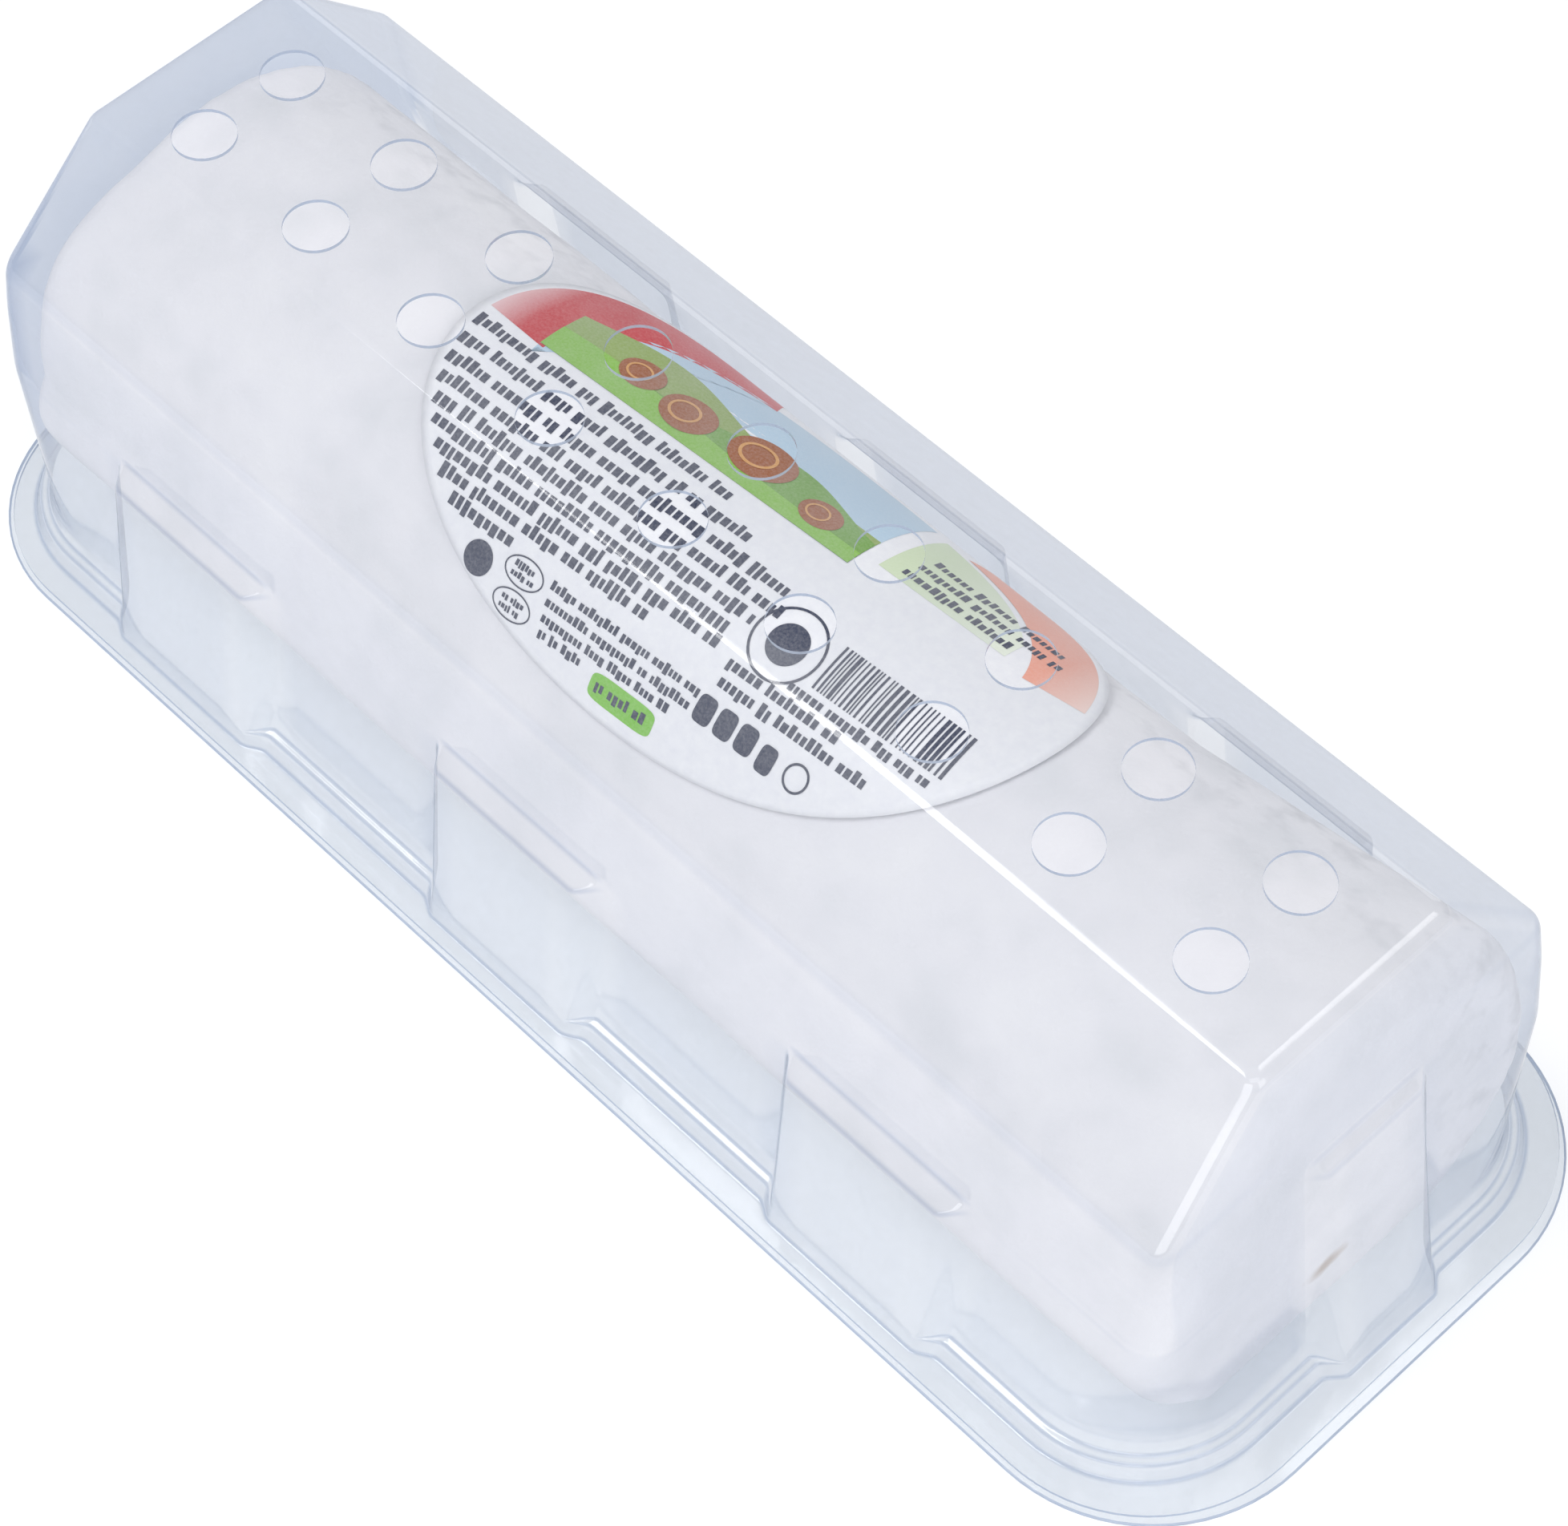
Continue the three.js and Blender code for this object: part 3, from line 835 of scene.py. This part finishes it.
def print_picture():
    """Plain landscape of soft hills and round bales, in the greens, blue and brown of the sticker."""
    left, right, low = (PICTURE[key] for key in ("left", "right", "low"))
    sky = Print("print_sky", ink("ink_sky", "B9D3E8"), 1)
    sky.polygon(under_curve(lambda u: label_edge(u, PICTURE["inset"]), left, right, low))
    sky.make()
    hills = (
        ("print_far_hills", "8FA95A", 2, hill(-8, 5, -24, 13)),
        ("print_mid_hills", "6FA23C", 3, hill(-6, 4.5, -2, 11)),
        ("print_near_field", "86BE45", 4, hill(-4.2, 2.2, -30, 16)),
    )
    for name, colour, layer, crest in hills:
        field = Print(name, ink(name.replace("print", "ink"), colour), layer)
        field.polygon(under_curve(crest, left, right, low))
        field.make()
    bales = Print("print_bales", ink("ink_brown", "9A5527"), 5)
    for u, w, size in BALES:
        bales.disc(u, w, 1.25 * size, size)
    bales.make()
    straw = Print("print_straw", ink("ink_straw", "D39A5A"), 6)
    for u, w, size in BALES:
        straw.ring(u - 0.2 * size, w, 0.7 * size, 0.6 * size, 0.12 * size)
    straw.make()


# Rows of plain blocks: their height, then each row's place across and its two ends
BLOCK_ROWS = (
    (1.9, (
        (0.3, -46.6, -4), (3.3, -46.2, 2), (6.1, -45.6, 11), (8.7, -44.6, 12), (11.1, -43.2, 9.5),
        (13.4, -41.6, 8.5), (15.6, -39.4, 8.5), (17.8, -36.8, -2), (20.1, -33.6, -21.5),
    )),
    (1.35, ((21.4, -15.3, 9.4), (23.4, -15, 9), (25.3, -14.6, 7), (27.1, -14.2, -6.5))),
    (1.75, ((16.6, 10, 28.6), (18.9, 10.4, 33.4))),
    (1.7, ((-6.4, 17, 34), (-8.9, 17.5, 40), (-11.4, 18, 39))),
    (1.6, ((28.2, -4, 4.6),)),
)
BARS = {"left": 20.4, "right": 40.2, "high": 7.1, "low": 13.4}
BAR_WIDTHS = (0.2, 0.2, 0.32, 0.5)
BAR_GAPS = (0.2, 0.25, 0.4, 0.55)


def print_label():
    """Generic print: fields of colour, rows of plain blocks, bars and rings."""
    draw = random.Random(11)
    banner = Print("print_banner", ink("ink_red", "C9202F", "F3D9DC", -42, -6), 1)
    banner.polygon(edge_band(112, 176, 1.2, 9.5))
    banner.make()
    print_picture()
    pale = Print("print_pale_green", ink("ink_pale_green", "D3E3C0", "EEF3EA", 16, 22), 1)
    pale.polygon(under_curve(lambda u: label_edge(u, 11), 14.5, 34, -4.6))
    pale.make()
    salmon = Print("print_salmon", ink("ink_salmon", "EFA48F", "F8DED6", 38, 8), 1)
    salmon.polygon(edge_band(9, 62, 1.4, 8.5))
    salmon.make()
    lime = Print("print_lime", ink("ink_lime", "7CC43C"), 1)
    lime.disc(0.3, 28.2, 5.2, 1.75, 48, 5.0)
    lime.make()

    dark = Print("print_navy", ink("ink_navy", "2A3350"), 2)
    for height, rows in BLOCK_ROWS:
        for w, left, right in rows:
            dark.block_row(draw, left, right, w, height)
    dark.disc(-26.2, 24, 2.2, 2.2)
    for u, w in ((-19.4, 22.2), (-19.2, 26.4)):
        dark.ring(u, w, 3.1, 1.9, 0.2)
        dark.block_row(draw, u - 1.8, u + 1.9, w - 0.55, 0.9)
        dark.block_row(draw, u - 1.8, u + 1.9, w + 0.65, 0.9)
    for u in (10.8, 14.1, 17.4):
        dark.disc(u, 22.6, 1.35, 1.75, 32, 4.0)
    dark.disc(20.9, 23.1, 1.2, 1.7, 32, 4.0)
    dark.ring(25.4, 22.8, 1.8, 1.8, 0.3)
    dark.ring(14.6, 11, 4.9, 4.9, 0.35)
    dark.disc(14.6, 11, 2.7, 2.7)
    place = BARS["left"]
    while place < BARS["right"]:
        width = draw.choice(BAR_WIDTHS)
        dark.bar(place, place + width, BARS["high"], BARS["low"])
        place += width + draw.choice(BAR_GAPS)
    dark.block_row(draw, 18, 40, 14.7, 1.5)
    dark.make()


# Stage

# The floor glows as well as reflecting, so it lights the pack from below and fills the shadows on itself
FLOOR = {"half": 3.0, "below": 0.0002, "colour": "B4B5B8", "glow": 0.62}
WORLD = {"colour": (0.992, 0.995, 1.0, 1.0), "strength": 0.42}
AIM = Vector((0, 0, 0.03))

# Name, place, size and power of each soft light
LIGHTS = (
    ("key", (0.75, -0.35, 0.95), (0.9, 0.7), 2.4),
    ("end_fill", (1.3, 0.1, 0.5), (0.8, 0.6), 2.8),
    ("back_fill", (-0.6, 1.15, 0.55), (0.8, 0.6), 1.9),
    ("top_edge_softbox", (-0.32, -0.34, 0.94), (0.45, 0.35), 3),
    ("end_edge_softbox", (0.2, 0.45, 1.0), (0.25, 0.25), 0.6),
    ("lug_softbox", (-0.04, -0.5, 0.9), (0.14, 0.14), 0.6),
    ("slant_edge_softbox", (0.55, -0.8, 0.32), (0.6, 0.3), 1.4),
)


def make_stage():
    mesh = bpy.data.meshes.new("floor")
    half = FLOOR["half"]
    corners = [(-half, -half, 0), (half, -half, 0), (half, half, 0), (-half, half, 0)]
    mesh.from_pydata(corners, [], [(0, 1, 2, 3)])
    shader = Shader("pale_floor")
    body = shader.add("ShaderNodeBsdfDiffuse", Color=linear(FLOOR["colour"])).outputs[0]
    glow = shader.add("ShaderNodeEmission", Color=linear("FDFEFF"), Strength=FLOOR["glow"]).outputs[0]
    mesh.materials.append(shader.finish(shader.add("ShaderNodeAddShader", _0=body, _1=glow).outputs[0]))
    floor = bpy.data.objects.new("floor", mesh)
    floor.location.z = cad_box[0][2] - FLOOR["below"]
    bpy.context.scene.collection.objects.link(floor)


def area_light(name, place, size, power):
    """Soft white light at place, facing the middle of the pack."""
    lamp = bpy.data.lights.new(name, "AREA")
    lamp.shape = "RECTANGLE"
    lamp.size, lamp.size_y = size
    lamp.energy = power
    light = bpy.data.objects.new(name, lamp)
    light.location = place
    light.rotation_euler = (AIM - Vector(place)).to_track_quat("-Z", "Y").to_euler()
    bpy.context.scene.collection.objects.link(light)


def make_light():
    world = bpy.data.worlds.new("studio")
    world.use_nodes = True
    background = world.node_tree.nodes["Background"]
    background.inputs["Color"].default_value = WORLD["colour"]
    background.inputs["Strength"].default_value = WORLD["strength"]
    bpy.context.scene.world = world
    for light in LIGHTS:
        area_light(*light)


def make_camera():
    azimuth, elevation, roll = (CAMERA[key] for key in ("azimuth", "elevation", "roll"))
    back = Vector((
        math.sin(azimuth) * math.cos(elevation),
        -math.cos(azimuth) * math.cos(elevation),
        math.sin(elevation),
    ))
    level = Vector((0, 0, 1)).cross(back).normalized()
    up = back.cross(level)
    right = level * math.cos(roll) + up * math.sin(roll)
    up = back.cross(right)
    turn = Matrix((right, up, back)).transposed()
    data = bpy.data.cameras.new("photo_view")
    data.lens = CAMERA["lens"]
    data.sensor_fit = "HORIZONTAL"
    data.sensor_width = CAMERA["sensor"]
    camera = bpy.data.objects.new("photo_view", data)
    camera.matrix_world = Matrix.Translation(CAMERA["place"]) @ turn.to_4x4()
    bpy.context.scene.collection.objects.link(camera)
    bpy.context.scene.camera = camera


make_camera()
make_light()
make_stage()
edge = cut_edge()
make_cover(clear_plastic("cover_plastic", "F9FAFB", "F4F5F7", "D9DEE7", "A6B0C2"), edge)
make_base(clear_plastic("base_plastic", "F5F7F9", "F3F5F7", "EAEDF2", "B9C3D4"), edge)
make_log(rind())
make_label(paper())
print_label()

scene = bpy.context.scene
scene.view_settings.view_transform = "Standard"
scene.cycles.transparent_max_bounces = 12
scene.cycles.diffuse_bounces = 2
scene.cycles.glossy_bounces = 2
